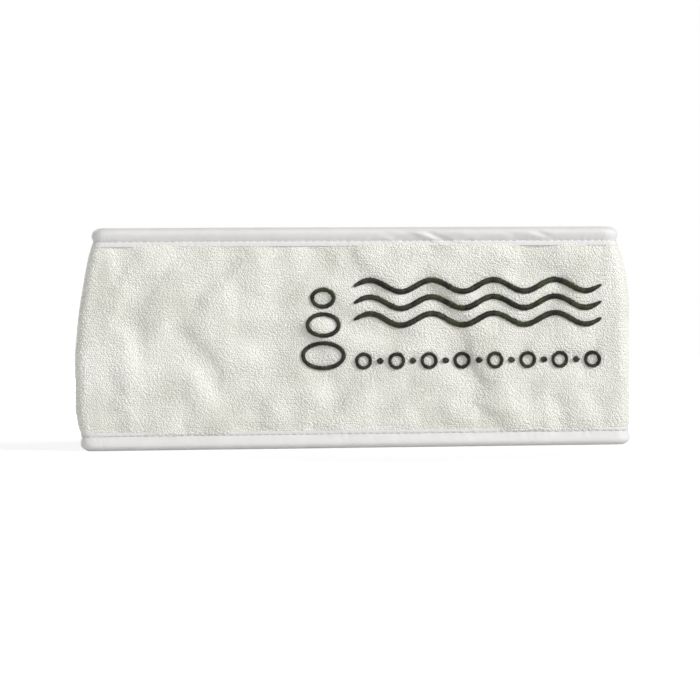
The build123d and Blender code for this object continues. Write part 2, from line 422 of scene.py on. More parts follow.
def pile(shape, start, end, ground, side, spacing, sides, seed, keep_clear=None):
    """Pile loops over one face. Each is a small leaning nub, and neighbours lean much the same way."""
    rng = np.random.default_rng(seed)
    low, high = lower_tape - 0.8, band_height - upper_tape + 0.9
    columns = max(1, round((end - start) / spacing))
    rows = round((high - low) / (spacing * 0.87))
    column, row = np.meshgrid(np.arange(columns), np.arange(rows), indexing="ij")
    along = start + (column + 0.25 + 0.5 * (row % 2)) * (end - start) / columns
    up = low + (row + 0.5) * (high - low) / rows
    along = (along + rng.uniform(-0.3, 0.3, along.shape) * spacing).ravel()
    up = (up + rng.uniform(-0.3, 0.3, up.shape) * spacing).ravel()
    height = pile_height * rng.uniform(0.75, 1.15, along.shape)
    if keep_clear is not None:
        pressed = keep_clear(along, up)
        kept = pressed < 0.95
        along, up, height = along[kept], up[kept], height[kept] * (1 - 0.6 * pressed[kept])
    if side < 0:
        height = height * 0.6
    lay = math.pi * (0.5 + 0.55 * soft_noise(along, up, 9, 14, seed + 1)) + rng.normal(0, 0.55, along.shape)
    lean = height * (0.55 + 0.35 * soft_noise(along, up, 13, 16, seed + 2))
    lean_along, lean_up = lean * np.cos(lay), -lean * np.sin(lay)
    root = ground(along, up)
    twist = rng.uniform(0, 2 * math.pi, along.shape)
    wide = spacing * rng.uniform(0.55, 0.75, along.shape)
    # shades give each point's height up its nub, 0 at the root and 1 at the tip; the terry material paints
    # shade towards the roots from them.
    points, shades = [], []
    for rise, width, shift in ((-0.4, 1.0, 0.0), (0.6, 0.82, 0.6)):
        for corner in range(sides):
            angle = twist + corner * 2 * math.pi / sides
            points.append(np.stack([
                along + wide * width * np.cos(angle) + lean_along * shift,
                root + side * height * rise,
                up + wide * width * np.sin(angle) + lean_up * shift,
            ], -1))
            shades.append(np.full(along.shape, max(rise, 0.0)))
    points.append(np.stack([along + lean_along, root + side * height, up + lean_up], -1))
    shades.append(np.ones(along.shape))
    base = np.arange(len(along))[:, None] * (2 * sides + 1)
    faces = []
    for corner in range(sides):
        beside = (corner + 1) % sides
        wall = [corner, beside, sides + beside, sides + corner]
        top = [sides + corner, sides + beside, 2 * sides]
        faces += [base + np.array(wall[::side]), base + np.array(top[::side])]
    shape.add(np.stack(points, 1), faces, np.stack(shades, 1).ravel())


# ---- binding tape

valley_out = 0.5            # the tape's outer face where the stitching draws it in
lower_valley_out = 0.8      # the lower seam draws it in less
flange_out = 1.15           # and on its flat edge below the stitching
upper_flange = 2.6
lower_flange = 1.6
end_flange = 2.7
inner_swell = 0.52          # how far the tape's inner side stands out, against its outer side
inner_flange_out = 0.95
inner_seam_out = -1.05      # where the stitches lie on the inner side


def tape_profile(width, flange_width, dip):
    """Half of the tape's closed outline: distance from the strip's edge, and height out.

    It runs from the flange's edge over the stitch valley and the puffy roll to the strip's very edge."""
    valley = width - flange_width
    flange = np.linspace(width, valley + 0.3, 7)
    roll = valley * (0.5 + 0.5 * np.cos(np.linspace(0, math.pi, 21)))
    distance = np.concatenate([[width - 0.1], flange, roll])
    swell = np.sin(math.pi * np.clip(distance / valley, 0, 1) ** 0.78) ** 0.9
    rolled = dip + (tape_swell - dip) * swell
    flat = dip + (flange_out - dip) * ramp(distance, valley, valley + 0.9)
    out = np.where(distance > valley, flat, rolled)
    near_edge = np.clip(distance / 2.0, 0, 1)
    out = out * np.sqrt(1 - (1 - near_edge) ** 2)
    out[0] = 0.6
    return distance, out


def puckers(along, distance, width, strength):
    """Small slanting gathers that the stitching pulls into the tape."""
    phase = 2.2 * soft_noise(along, distance * 0, 14, 9, 21)
    gather = np.sin(along * 1.25 + distance * 0.55 + 3 * phase) * soft_noise(along, distance, 11, 30, 22)
    near_valley = np.exp(-((distance - (width - 2.4)) / 2.6) ** 2)
    return strength * gather * near_valley


def creases(along, distance):
    """A few larger slanting creases in the upper tape, right of the middle of the front panel."""
    start, end = front_along(0.0), front_along(100.0)
    where = ramp(along, start, start + 25) * (1 - ramp(along, end - 20, end))
    ridge = soft_noise(along - 2.2 * distance, distance, 5.0, 9, 23)
    return 0.85 * where * ridge * np.sin(math.pi * np.clip(distance / 8, 0, 1))


def tape_out(along, distance, out, upper):
    """Height of the tape's outer side, with its gathers and creases."""
    lift = puckers(along, distance, upper_tape if upper else lower_tape, 0.16)
    if upper:
        lift = lift + creases(along, distance)
    return out + np.where(out > 0.4, lift, 0)


tape_step = 0.8
tuck_steps = 2              # how far a stretch's tape slips under the one before it
tuck_depth = 0.02
tape_end_gap = 1.2          # the long tapes stop short of the strip's ends, inside the end tapes


def tape(shape, start, end, upper, tucked):
    """Binding tape over the upper or the lower edge of one stretch of the strip."""
    width = upper_tape if upper else lower_tape
    flange = upper_flange if upper else lower_flange
    distance, out = tape_profile(width, flange, valley_out if upper else lower_valley_out)
    count = round((end - start) / tape_step)
    stations = start + (end - start) / count * np.arange(-tuck_steps if tucked else 0, count + 1)
    along, drop = np.meshgrid(stations, distance, indexing="ij")
    outer = tape_out(along, drop, np.broadcast_to(out, along.shape), upper)
    inner = -inner_swell * np.broadcast_to(out, along.shape)
    inner = np.where(drop > width - flange, -inner_flange_out - 0.1 * np.sin(along), inner)
    inner[:, 0] = -0.3
    sink = tuck_depth * np.clip((start - along) / tape_step, 0, 1)
    outer, inner, drop = outer - sink, inner + sink, drop + sink * (drop < 1)
    full_drop = np.concatenate([drop, drop[:, ::-1]], 1)
    full_out = np.concatenate([outer, inner[:, ::-1]], 1)
    full_along = np.concatenate([along, along], 1)
    up = band_height - full_drop if upper else full_drop
    order = 1 if upper else -1
    sweep(shape, np.stack([full_along, full_out, up], -1)[:, ::order])


def end_tape_piece(shape, edge, inward):
    """Tape folded over a free end of the strip, closed and rounded at its two corners."""
    distance, out = tape_profile(end_tape, end_flange, valley_out)
    upright = np.linspace(0.25, band_height - 0.25, 120)
    up, drop = np.meshgrid(upright, distance, indexing="ij")
    from_corner = np.minimum(up, band_height - up)
    rounding = np.sqrt(1 - (1 - np.clip(from_corner / 2.6, 0, 1)) ** 2)
    outer = (np.broadcast_to(out, up.shape) + 0.35 + puckers(up, drop, end_tape, 0.12)) * rounding
    inner = -(0.62 * np.broadcast_to(out, up.shape) + 0.45) * rounding
    corner_inset = (1 - rounding) * 1.5
    along = edge + inward * np.maximum(drop, corner_inset * (drop < 2))
    outer[:, -1] = 0
    inner[:, -1] = 0
    rows = np.stack([
        np.concatenate([along, along[:, ::-1]], 1),
        np.concatenate([outer, inner[:, ::-1]], 1),
        np.concatenate([up, up], 1),
    ], -1)
    sweep(shape, rows[:, ::int(inward)])


# ---- stitches

stitch_length = 2.6
stitch_pitch = 3.1
seam_thread = 0.24


def stitch_paths(starts, ends, out):
    """Stitches from (N, 2) to (N, 2) places in along and up: ends dive in, the middle lies on top."""
    share = np.array([0.0, 0.14, 0.35, 0.65, 0.86, 1.0])
    sink = np.array([-0.3, 0.04, 0.13, 0.13, 0.04, -0.3])
    flat = starts[:, None] + (ends - starts)[:, None] * share[None, :, None]
    height = out(flat[..., 0], flat[..., 1]) if callable(out) else np.full(flat.shape[:2], out)
    sign = np.sign(height.mean())
    return np.stack([flat[..., 0], height + sign * sink, flat[..., 1]], -1)


def stitch_row(shape, first, last, out):
    """A row of stitches between two places, each (along, up)."""
    first, last = np.asarray(first, float), np.asarray(last, float)
    length = np.hypot(*(last - first))
    count = max(1, int(length / stitch_pitch))
    step = (last - first) / count
    starts = first + step * (np.arange(count)[:, None] + 0.08)
    ends = starts + step * stitch_length / stitch_pitch
    cords(shape, stitch_paths(starts, ends, out), seam_thread * np.array([0.6, 0.9, 1, 1, 0.9, 0.6]))


def seam(shape, start, end, upper):
    """Stitching along the tape's valley on both sides of the strip."""
    distance = (upper_tape - upper_flange if upper else lower_tape - lower_flange) + 0.25
    up = band_height - distance if upper else distance
    dip = valley_out if upper else lower_valley_out

    def outer(along, _):
        return tape_out(along, np.full_like(along, distance), np.full_like(along, dip + 0.1), upper) + 0.05

    stitch_row(shape, (start, up), (end, up), outer)
    stitch_row(shape, (start, up), (end, up), inner_seam_out)


# ---- materials

def node_material(name):
    """An empty node material with its output, its surface and a small tool for adding nodes."""
    material = bpy.data.materials.new(name)
    material.use_nodes = True
    tree = material.node_tree
    surface = tree.nodes["Principled BSDF"]

    def add(kind, links=(), **values):
        node = tree.nodes.new(kind)
        for key, value in values.items():
            if key in node.inputs:
                node.inputs[key].default_value = value
            else:
                setattr(node, key, value)
        for key, source in links:
            tree.links.new(source, node.inputs[key])
        return node

    def join(source, target):
        tree.links.new(source, target)

    return material, surface, add, join


def vector(add, stretch=(1, 1, 1)):
    """The strip coordinates in millimetres, stretched as asked."""
    uv = add("ShaderNodeUVMap", uv_map="strip")
    mapped = add("ShaderNodeMapping", [("Vector", uv.outputs["UV"])])
    mapped.inputs["Scale"].default_value = stretch
    return mapped.outputs["Vector"]


def noise(add, source, scale, detail=2.0, rough=0.5):
    node = add("ShaderNodeTexNoise", [("Vector", source)], Scale=scale, Detail=detail, Roughness=rough)
    return node.outputs["Fac"]


def ramp_colours(add, source, stops):
    """A colour ramp from (place, colour) stops."""
    node = add("ShaderNodeValToRGB", [("Fac", source)])
    elements = node.color_ramp.elements
    while len(elements) < len(stops):
        elements.new(0.5)
    for element, (at, colour) in zip(elements, stops):
        element.position = at
        element.color = (*colour, 1)
    return node.outputs["Color"]


def mix_colours(add, factor, first, second, blend="MIX"):
    node = add("ShaderNodeMix", data_type="RGBA", blend_type=blend)
    tree_links = node.id_data.links
    for socket, value in ((node.inputs[0], factor), (node.inputs[6], first), (node.inputs[7], second)):
        if isinstance(value, bpy.types.NodeSocket):
            tree_links.new(value, socket)
        elif isinstance(value, tuple):
            socket.default_value = (*value, 1)
        else:
            socket.default_value = value
    return node.outputs[2]


def set_inputs(node, **values):
    """Sets a node's inputs by name. An underscore in a name stands for a space."""
    for name, value in values.items():
        node.inputs[name.replace("_", " ")].default_value = value


def bump(add, join, surface, height, strength, distance):
    node = add("ShaderNodeBump", [("Height", height)], Strength=strength, Distance=distance * MM)
    join(node.outputs["Normal"], surface.inputs["Normal"])


def terry_material():
    """White cotton pile: painted shade makes it darker and warmer at the roots; patchy over centimetres,
    partly in its own tone and partly in painted shading of the pile's lay; fibrous close up.
    """
    material, surface, add, join = node_material("terry")
    height = add("ShaderNodeAttribute", attribute_name="shade").outputs["Fac"]
    # Painted shade: the pile's colour darkens and warms from tip to root by height up each nub, where real
    # shade falls between the nubs.
    root_shaded_pile_colour = ramp_colours(add, height, [
        (0.0, (0.91, 0.903, 0.85)),
        (0.6, (0.94, 0.933, 0.885)),
        (1.0, (0.955, 0.948, 0.905)),
    ])
    # Patchy tone in elongated patches, partly the cotton's own tone and partly painted shading that stands
    # for pile brushed different ways.
    lay = noise(add, vector(add, (1.4, 0.8, 1)), 0.05, 1.5, 0.55)
    patches = ramp_colours(add, lay, [(0.36, (0.895, 0.895, 0.875)), (0.62, (1, 1, 1))])
    fine = noise(add, vector(add), 0.9)
    grains = ramp_colours(add, fine, [(0.3, (0.94, 0.94, 0.93)), (0.7, (1, 1, 1))])
    colour = mix_colours(add, 1.0, root_shaded_pile_colour, patches, "MULTIPLY")
    colour = mix_colours(add, 1.0, colour, grains, "MULTIPLY")
    join(colour, surface.inputs["Base Color"])
    set_inputs(surface, Roughness=0.95, Specular_IOR_Level=0.15, Sheen_Weight=0.12, Sheen_Roughness=0.6)
    bump(add, join, surface, noise(add, vector(add), 5.0, 3.0, 0.7), 0.3, 0.15)
    return material


def tape_material():
    """Smooth woven tape: a fine slanting twill, slightly cool, with a soft sheen."""
    material, surface, add, join = node_material("binding_tape")
    across = vector(add, (1, 1.3, 1))
    twill = add("ShaderNodeTexWave", [("Vector", across)], bands_direction="DIAGONAL", Scale=1.1)
    set_inputs(twill, Distortion=0.4)
    soft = noise(add, vector(add), 0.12)
    shade = ramp_colours(add, soft, [(0.3, (0.82, 0.81, 0.805)), (0.7, (0.865, 0.855, 0.848))])
    weave = ramp_colours(add, twill.outputs["Fac"], [(0.0, (0.94, 0.94, 0.94)), (1.0, (1, 1, 1))])
    join(mix_colours(add, 1.0, shade, weave, "MULTIPLY"), surface.inputs["Base Color"])
    set_inputs(surface, Roughness=0.62, Specular_IOR_Level=0.3, Sheen_Weight=0.25)
    bump(add, join, surface, twill.outputs["Fac"], 0.35, 0.08)
    return material


def thread_material(name, dark, light, rough, sheen):
    """Twisted thread: fine bands across it, and a shade that changes from stitch to stitch between its dark
    tone and a painted highlight.
    """
    material, surface, add, join = node_material(name)
    twist = add("ShaderNodeTexWave", [("Vector", vector(add))], bands_direction="DIAGONAL", Scale=2.6)
    stitch_tone_and_highlight = add("ShaderNodeAttribute", attribute_name="shade").outputs["Fac"]
    # Painted highlight: the shade attribute mixes the dark thread colour towards the lighter one, which
    # stands for light caught by the stitches.
    shade = ramp_colours(add, stitch_tone_and_highlight, [(0.15, dark), (0.9, light)])
    bands = ramp_colours(add, twist.outputs["Fac"], [(0.0, (0.8, 0.8, 0.8)), (1.0, (1, 1, 1))])
    join(mix_colours(add, 1.0, shade, bands, "MULTIPLY"), surface.inputs["Base Color"])
    set_inputs(surface, Roughness=rough, Sheen_Weight=sheen)
    bump(add, join, surface, twist.outputs["Fac"], 0.3, 0.06)
    return material


def felt_material(name, low, high, scale, rough):
    """Matted fibre or close weave for the patches and the backing."""
    material, surface, add, join = node_material(name)
    fibre = noise(add, vector(add), scale, 3.0, 0.65)
    join(ramp_colours(add, fibre, [(0.25, low), (0.75, high)]), surface.inputs["Base Color"])
    set_inputs(surface, Roughness=rough, Sheen_Weight=0.2)
    bump(add, join, surface, fibre, 0.5, 0.15)
    return material


terry_cotton = terry_material()
tape_cloth = tape_material()
white_thread = thread_material("seam_thread", (0.74, 0.735, 0.72), (0.83, 0.825, 0.81), 0.5, 0.2)
# The embroidery thread's lighter colour is a painted highlight.
green_thread = thread_material("embroidery_thread", (0.006, 0.008, 0.002), (0.05, 0.06, 0.018), 0.42, 0.0)
loop_felt = felt_material("loop_tape", (0.87, 0.87, 0.85), (0.93, 0.93, 0.91), 3.5, 0.9)
hook_weave = felt_material("hook_tape", (0.76, 0.76, 0.74), (0.84, 0.84, 0.82), 1.2, 0.45)
backing_felt = felt_material("backing", (0.80, 0.80, 0.78), (0.88, 0.88, 0.86), 1.0, 0.8)

# ---- pieces and what they ride on

front_split_x = -42.0       # the front panel's fabric is divided here between its two folds
arm_split_x = 42.0          # and the outer arm's here, between its fold and the tab
terry_split_x = 75.0        # the long middle stretch's terry is divided once more, to keep its meshes light
left_band = ((0, -5.0 * MM, 0), (0, -1.0 * MM, 0))
right_band = ((0, -4.8 * MM, 0), (0, 4.8 * MM, 0))
peel_half = 5.0
peel_band = (((peel_line[0] + peel_half) * MM, 0, 0), ((peel_line[0] - peel_half) * MM, 0, 0))
front_split = front_along(front_split_x)
terry_split = front_along(terry_split_x)
arm_split = outer_along(arm_split_x)
bound_end = end_tape - terry_tuck   # the terry stops this far from the strip's two ends
# Each stretch of the strip: where it starts and ends, the bodies it joins and the band where it bends,
# the bodies whose tape and thread it stands for, and its runs of terry with theirs.
stretches = {
    "left": (0.0, front_split, ("front", "left_arm"), left_band, ["left_arm"],
             [("left", bound_end, front_split, ["left_arm"])]),
    "right": (front_split, arm_split, ("front", "right_arm"), right_band, ["front", "right_arm"],
              [("front", front_split, terry_split, ["front"]),
               ("right", terry_split, arm_split, ["right_arm"])]),
    "tab": (arm_split, strip_end, ("right_arm", "tab"), peel_band, ["tab"],
            [("tab", arm_split, strip_end - bound_end, ["tab"])]),
}


def attach(piece, stretch, nodes):
    """Bakes a piece's placement into its mesh and hides the CAD parts it stands for."""
    bodies, band = stretches[stretch][2:4]
    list(bodies)
    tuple(band[0])
    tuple(band[1])
    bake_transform(piece)
    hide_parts(*nodes)


def fix_to(piece, body, node):
    """Fixes a piece to one body and hides the CAD part it stands for."""
    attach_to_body(piece, body)
    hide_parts(node)


def outer_cover(along, up):
    """Where the outer pile is pressed down by the loop patch or by the embroidery's stitches."""
    return np.maximum(in_patch(along, up), decoration_cover(along, up))


# ---- embroidery

satin_pitch = 0.42
satin_thread = 0.27
satin_low, satin_high = 0.75, 1.35    # thread height above the terry's ground, at its ends and its middle


def satin(shape, middles, crossing, half_width, seed):
    """Satin stitches centred on (N, 2) places, laid along (N, 2) unit directions."""
    rng = np.random.default_rng(seed)
    reach = (half_width + rng.uniform(-0.12, 0.16, len(middles)))[:, None]
    share = np.linspace(-1, 1, 7)
    flat = middles[:, None] + crossing[:, None] * reach[..., None] * share[None, :, None]
    ground = outer_ground(flat[..., 0], flat[..., 1])
    arch = satin_low + (satin_high - satin_low) * (1 - np.abs(share) ** 2.6)
    arch = np.where(np.abs(share) > 0.99, satin_low - 0.7, arch)
    arch = arch + rng.uniform(-0.06, 0.06, (len(middles), 1))
    paths = np.stack([flat[..., 0], ground + arch, flat[..., 1]], -1)
    # Each stitch's shade is partly random tone and partly a painted highlight, in soft patches where satin
    # catches the light.
    shade = 0.5 + 0.5 * soft_noise(*middles.T, 2.4, 2.4, seed) + rng.normal(0, 0.16, len(middles))
    cords(shape, paths, satin_thread * np.array([0.7, 1, 1, 1, 1, 1, 0.7]), shade=np.clip(shade, 0, 1))


def underlay(shape, middles, crossing, half_width, closed):
    """The padding of thread under a satin line, which fills the gaps between its stitches."""
    share = np.linspace(-1, 1, 5)
    reach = (half_width * 0.86)[:, None, None]
    flat = middles[:, None] + crossing[:, None] * reach * share[None, :, None]
    ground = outer_ground(flat[..., 0], flat[..., 1])
    top = np.stack([flat[..., 0], ground + satin_high - 0.3 - 0.45 * np.abs(share) ** 3, flat[..., 1]], -1)
    under = top[:, ::-1] - np.array([0, 0.9, 0])
    rows = np.concatenate([top, under], 1)
    if closed:
        rows = np.concatenate([rows, rows[:1]], 0)
    sweep(shape, rows[::-1])


def walk(curve, with_end):
    """Places and crossing directions at satin pitch along curve(share), which gives (N, 2) points."""
    fine = np.linspace(0, 1, 4000)
    steps = np.hypot(*np.diff(curve(fine), axis=0).T)
    travelled = np.concatenate([[0], np.cumsum(steps)])
    count = max(4, round(travelled[-1] / satin_pitch))
    shares = np.interp(np.linspace(0, travelled[-1], count, endpoint=with_end), travelled, fine)
    here, ahead, behind = curve(shares), curve(shares + 1e-4), curve(shares - 1e-4)
    tangent = ahead - behind
    tangent /= np.hypot(*tangent.T)[:, None]
    lean = math.radians(78)
    crossing = np.stack([
        tangent[:, 0] * math.cos(lean) - tangent[:, 1] * math.sin(lean),
        tangent[:, 0] * math.sin(lean) + tangent[:, 1] * math.cos(lean),
    ], -1)
    return here, crossing, shares


def satin_line(shape, curve, half_width, seed, closed=False, taper=0.0):
    """A satin line along a curve. taper is the share of its length over which each end narrows."""
    here, crossing, shares = walk(curve, not closed)
    width = np.full(len(here), half_width)
    if taper:
        ends = np.minimum(shares, 1 - shares)
        width = half_width * np.clip(0.3 + 0.7 * np.sqrt(np.clip(ends / taper, 0, 1)), 0, 1)
    satin(shape, here, crossing, width, seed)
    underlay(shape, here, crossing, width, closed)


def islands(node):
    """The boxes of a CAD node's separate solids, as (x span, z span), from left to right and up."""
    mesh = frame["nodes"][node].data
    points = np.array([vertex.co[:] for vertex in mesh.vertices]) / MM
    own_place = np.unique(np.round(points, 3), axis=0, return_inverse=True)[1].ravel()
    edges = own_place[[edge.vertices[:] for edge in mesh.edges]]
    solid = np.arange(len(points))
    joined = False
    while not joined:
        lowest = solid[edges].min(1)
        joined = (lowest == solid[edges].max(1)).all()
        for end in (0, 1):
            np.minimum.at(solid, edges[:, end], lowest)
    solid = solid[own_place]
    boxes = []
    for number in np.unique(solid):
        low, high = points[solid == number].min(0), points[solid == number].max(0)
        boxes.append(((low[X], high[X]), (low[Z], high[Z])))
    return sorted(boxes, key=lambda box: (round(box[0][0]), box[1][0]))


stone_boxes = islands("stone_embroidery")
ripple_boxes = islands("ripple_embroidery")
ring_boxes = islands("ring_embroidery")
stone_line = 1.9
ripple_line = 2.6
ripple_waves = 4
ring_line = 1.6


def ellipse_curve(box, line):
    """The middle of an outline of the given width inside a box."""
    centre = (front_along(sum(box[0]) / 2), sum(box[1]) / 2)
    reach = ((box[0][1] - box[0][0] - line) / 2, (box[1][1] - box[1][0] - line) / 2)

    def curve(share):
        angle = 2 * math.pi * share
        return np.stack([centre[0] + reach[0] * np.cos(angle), centre[1] + reach[1] * np.sin(angle)], -1)

    return curve


def ripple_curve(box):
    """The middle of one water line inside a box."""
    start, end = front_along(box[0][0]), front_along(box[0][1])
    middle = sum(box[1]) / 2
    swing = (box[1][1] - box[1][0] - ripple_line) / 2

    def curve(share):
        height = middle + swing * np.sin(2 * math.pi * ripple_waves * share)
        return np.stack([start + (end - start) * share, height], -1)

    return curve


def is_ring(box):
    """Rings are wider than dots."""
    return box[0][1] - box[0][0] > 4


def dot_fill(shape, box, seed):
    """A dot of side-by-side satin stitches."""
    centre = np.array([front_along(sum(box[0]) / 2), sum(box[1]) / 2])
    radius = (box[0][1] - box[0][0]) / 2
    offsets = np.arange(-radius + 0.15, radius, satin_pitch)
    middles = centre + np.stack([offsets, np.zeros_like(offsets)], -1)
    crossing = np.broadcast_to([0.0, 1.0], middles.shape)
    width = np.sqrt(np.maximum(radius ** 2 - offsets ** 2, 0.05))
    satin(shape, middles, crossing, width, seed)


def decoration_lines():
    """Every satin line's middle and half width, to press the pile down round them."""
    lines = [(ellipse_curve(box, stone_line)(np.linspace(0, 1, 90)), stone_line / 2) for box in stone_boxes]
    lines += [(ripple_curve(box)(np.linspace(0, 1, 400)), ripple_line / 2) for box in ripple_boxes]
    for box in ring_boxes:
        if is_ring(box):
            lines.append((ellipse_curve(box, ring_line)(np.linspace(0, 1, 50)), ring_line / 2))
        else:
            lines.append((ellipse_curve(box, 1.4)(np.linspace(0, 1, 16)), 1.0))
    return lines


cover_up = (25.0, 85.0)     # the decoration lies between these heights
cover_beside = 6.0          # and this far inside the table's ends


def make_cover():
    """A table of how near each place of the front panel is to a satin line, for quick reading."""
    cell = 0.25
    low = np.array([front_along(stone_boxes[0][0][0]) - cover_beside, cover_up[0]])
    high = np.array([front_along(ripple_boxes[0][0][1]) + cover_beside, cover_up[1]])
    counts = np.ceil((high - low) / cell).astype(int)
    along, up = np.meshgrid(*(low[i] + cell * np.arange(counts[i]) for i in (0, 1)), indexing="ij")
    cover = np.zeros(along.shape)
    for points, half_width in decoration_lines():
        for point in points:
            first = np.clip(((point - low - half_width - 2) / cell).astype(int), 0, counts)
            last = np.clip(((point - low + half_width + 2) / cell).astype(int) + 1, 0, counts)
            window = (slice(first[0], last[0]), slice(first[1], last[1]))
            away = np.hypot(along[window] - point[0], up[window] - point[1]) - half_width
            cover[window] = np.maximum(cover[window], 1 - ramp(away, -0.1, 1.5))

    def read(at_along, at_up):
        column = ((np.asarray(at_along) - low[0]) / cell).astype(int)
        row = ((np.asarray(at_up) - low[1]) / cell).astype(int)
        inside = (column >= 0) & (column < counts[0]) & (row >= 0) & (row < counts[1])
        return np.where(inside, cover[np.clip(column, 0, counts[0] - 1), np.clip(row, 0, counts[1] - 1)], 0.0)

    return read


decoration_cover = make_cover()


def embroidery():
    """Three outlined stones, three water lines and a row of rings and dots, in dark satin stitch."""
    stones, ripples, rings = Shape(), Shape(), Shape()
    for seed, box in enumerate(stone_boxes):
        satin_line(stones, ellipse_curve(box, stone_line), stone_line / 2, 100 + seed, closed=True)
    for seed, box in enumerate(ripple_boxes):
        satin_line(ripples, ripple_curve(box), ripple_line / 2, 200 + seed, taper=0.05)
    for seed, box in enumerate(ring_boxes):
        if is_ring(box):
            satin_line(rings, ellipse_curve(box, ring_line), ring_line / 2, 300 + seed, closed=True)
        else:
            dot_fill(rings, box, 300 + seed)
    for shape, name in ((stones, "stone"), (ripples, "ripple"), (rings, "ring")):
        piece = shape.piece(f"{name}_satin_stitch", green_thread)
        fix_to(piece, "front", f"{name}_embroidery")


def backing():
    """The stabiliser sheet inside the loop, with slightly wavy cut edges."""
    shape = Shape()
    start, end = (front_along(x) for x in span("embroidery_backing", X))
    low, high = span("embroidery_backing", Z)
    stations = np.linspace(start + 1, end - 1, 90)
    across = np.linspace(low + 1, high - 1, 34)
    along, up = np.meshgrid(stations, across, indexing="ij")
    from_middle = up - (low + high) / 2
    up = up + 0.4 * np.sin(along * 0.35) * np.sign(from_middle) * (np.abs(from_middle) > 20)
    outer = np.stack([along, -1.42 + 0.05 * soft_noise(along, up, 6, 6, 31), up], -1)
    inner = outer[:, ::-1] - np.array([0, 0.28, 0])
    sweep(shape, np.concatenate([outer, inner], 1))
    fix_to(shape.piece("stabiliser_sheet", backing_felt), "front", "embroidery_backing")


# ---- closure

def pad_sheet(shape, start, end, up_span, face, top, side):
    """A patch with rounded edges between two strip lengths."""
    stations = np.linspace(start, end, max(8, round((end - start) / 1.2)))
    across = np.linspace(up_span[0], up_span[1], 68)
    along, up = np.meshgrid(stations, across, indexing="ij")
    edge = np.minimum(np.minimum(along - start, end - along), np.minimum(up - up_span[0], up_span[1] - up))
    round_over = np.sqrt(1 - (1 - np.clip(edge / 0.9, 0, 1)) ** 2)
    height = face + (top - face) * (0.25 + 0.75 * round_over)
    sewn = np.exp(-((edge - patch_seam_inset) / 0.7) ** 2) * 0.25
    outer = np.stack([along, side * (height - sewn), up], -1)
    inner = np.stack([along, np.full(along.shape, side * (face - 0.2)), up], -1)[:, ::-1]
    rows = np.concatenate([outer, inner], 1)
    sweep(shape, rows[:, ::side])


patch_seam_inset = 2.2


def patch_seam(shape, start, end, up_span, out):
    """Four rows of stitches round a patch."""
    start, end = start + patch_seam_inset, end - patch_seam_inset
    low, high = up_span[0] + patch_seam_inset, up_span[1] - patch_seam_inset
    corners = [(start, low), (end, low), (end, high), (start, high)]
    for first, last in zip(corners, corners[1:] + corners[:1]):
        stitch_row(shape, first, last, out)


loop_fibres = 9000


def loop_fuzz(shape, start, end, up_span, top):
    """Fine curled fibres over the loop tape."""
    rng = np.random.default_rng(41)
    count = loop_fibres
    along = rng.uniform(start + 0.6, end - 0.6, count)
    up = rng.uniform(up_span[0] + 0.6, up_span[1] - 0.6, count)
    heading = rng.uniform(0, 2 * math.pi, count)
    length = rng.uniform(0.5, 1.1, count)
    share = np.array([0, 0.5, 1.0])
    rise = np.array([-0.1, 0.18, -0.08])
    paths = np.stack([
        along[:, None] + np.cos(heading)[:, None] * length[:, None] * share,
        np.broadcast_to(top + rise, (count, 3)),
        up[:, None] + np.sin(heading)[:, None] * length[:, None] * share,
    ], -1)
    cords(shape, paths, 0.07, sides=3)


hook_column_pitch, hook_row_pitch = 1.35, 1.3


def hook_field(shape, start, end, up_span, top):
    """Rows of small hooks that lean along the strip, turned the other way in every second row."""
    columns = np.arange(start + 3.4, end - 3.2, hook_column_pitch)
    rows = np.arange(up_span[0] + 3.4, up_span[1] - 3.2, hook_row_pitch)
    column, row = np.meshgrid(np.arange(len(columns)), np.arange(len(rows)), indexing="ij")
    along, up = columns[column].ravel(), rows[row].ravel()
    turn = np.where(column.ravel() % 2, 1.0, -1.0)
    reach = np.array([0.0, 0.05, 0.2, 0.5, 0.62, 0.55])
    rise = np.array([-0.1, 0.3, 0.55, 0.6, 0.45, 0.25])
    paths = np.stack([
        along[:, None] + turn[:, None] * reach,
        -(top + np.broadcast_to(rise, (len(along), 6))),
        np.broadcast_to(up[:, None], (len(along), 6)),
    ], -1)
    cords(shape, paths, 0.11 * np.array([1.2, 1, 0.95, 0.9, 0.8, 0.5]), sides=4)


def sewn_patch(name, body, material, course, x_span, up_span, face, top, side, cover):
    """One half of the closure: a patch with its cover of fibres or hooks, and its stitching."""
    end, start = (course(x) for x in x_span)    # behind the front panel the strip runs against x
    patch, stitches = Shape(), Shape()
    pad_sheet(patch, start, end, up_span, face, top, side)
    cover(patch, start, end, up_span, top)
    patch_seam(stitches, start, end, up_span, side * (top - 0.1))
    fix_to(patch.piece(f"{name}_tape_patch", material), body, f"{name}_patch")
    piece = stitches.piece(f"{name}_tape_stitches", white_thread)
    fix_to(piece, body, f"{name}_patch_stitching")


def closure():
    """The loop patch on the inner arm's outer side, and the hook patch on the tab's inner side."""
    sewn_patch("loop", "left_arm", loop_felt, inner_along, loop_span, loop_up,
               outer_face, loop_raise - 0.35, 1, loop_fuzz)
    sewn_patch("hook", "tab", hook_weave, outer_along, hook_span, hook_up,
               inner_face + 0.3, hook_raise - 0.65, -1, hook_field)


# ---- the strip itself

